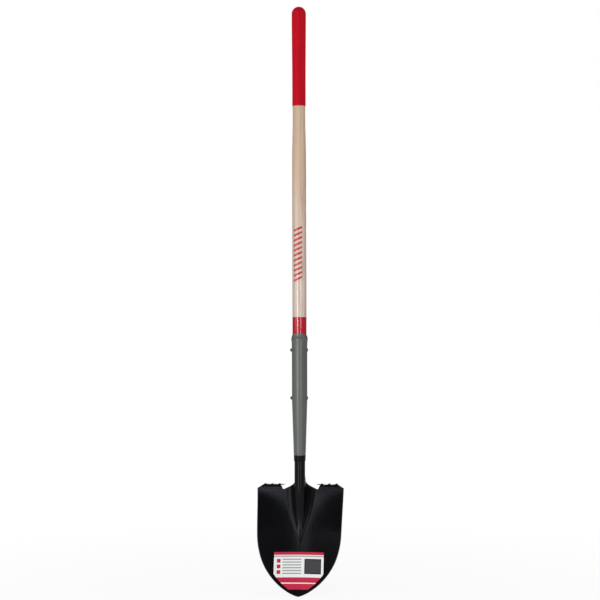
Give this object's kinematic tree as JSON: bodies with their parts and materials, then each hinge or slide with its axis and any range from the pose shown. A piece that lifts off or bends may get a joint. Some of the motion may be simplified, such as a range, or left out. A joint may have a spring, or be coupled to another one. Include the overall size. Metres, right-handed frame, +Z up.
{
  "type": "round-point shovel",
  "caption": "Long-handled round-point shovel: dished steel blade with turned-back foot steps, riveted steel collar, straight wooden handle and vinyl grip, for digging and lifting soil.",
  "frame": {"origin": "on the handle's centreline, at the middle of the bare shaft's clip point", "axes": "+Z up along the handle toward the grip, -Y the way the blade's hollow face looks, +X to the right as seen from the front"},
  "size_m": [0.224, 0.1183, 1.5056],
  "materials": {
    "black_paint": "satin black paint on pressed steel",
    "ash": "clear-lacquered ash with a painted red band above the collar",
    "grey_paint": "satin grey paint, dipped in black at the lower end",
    "rivet_steel": "dull steel",
    "red_vinyl": "satin red vinyl sleeve"
  },
  "bodies": {
    "root": {"blade": "black_paint", "handle": "ash", "collar": "grey_paint", "upper_rivet": "rivet_steel", "lower_rivet": "rivet_steel", "grip": "red_vinyl"}
  },
  "joints": []
}
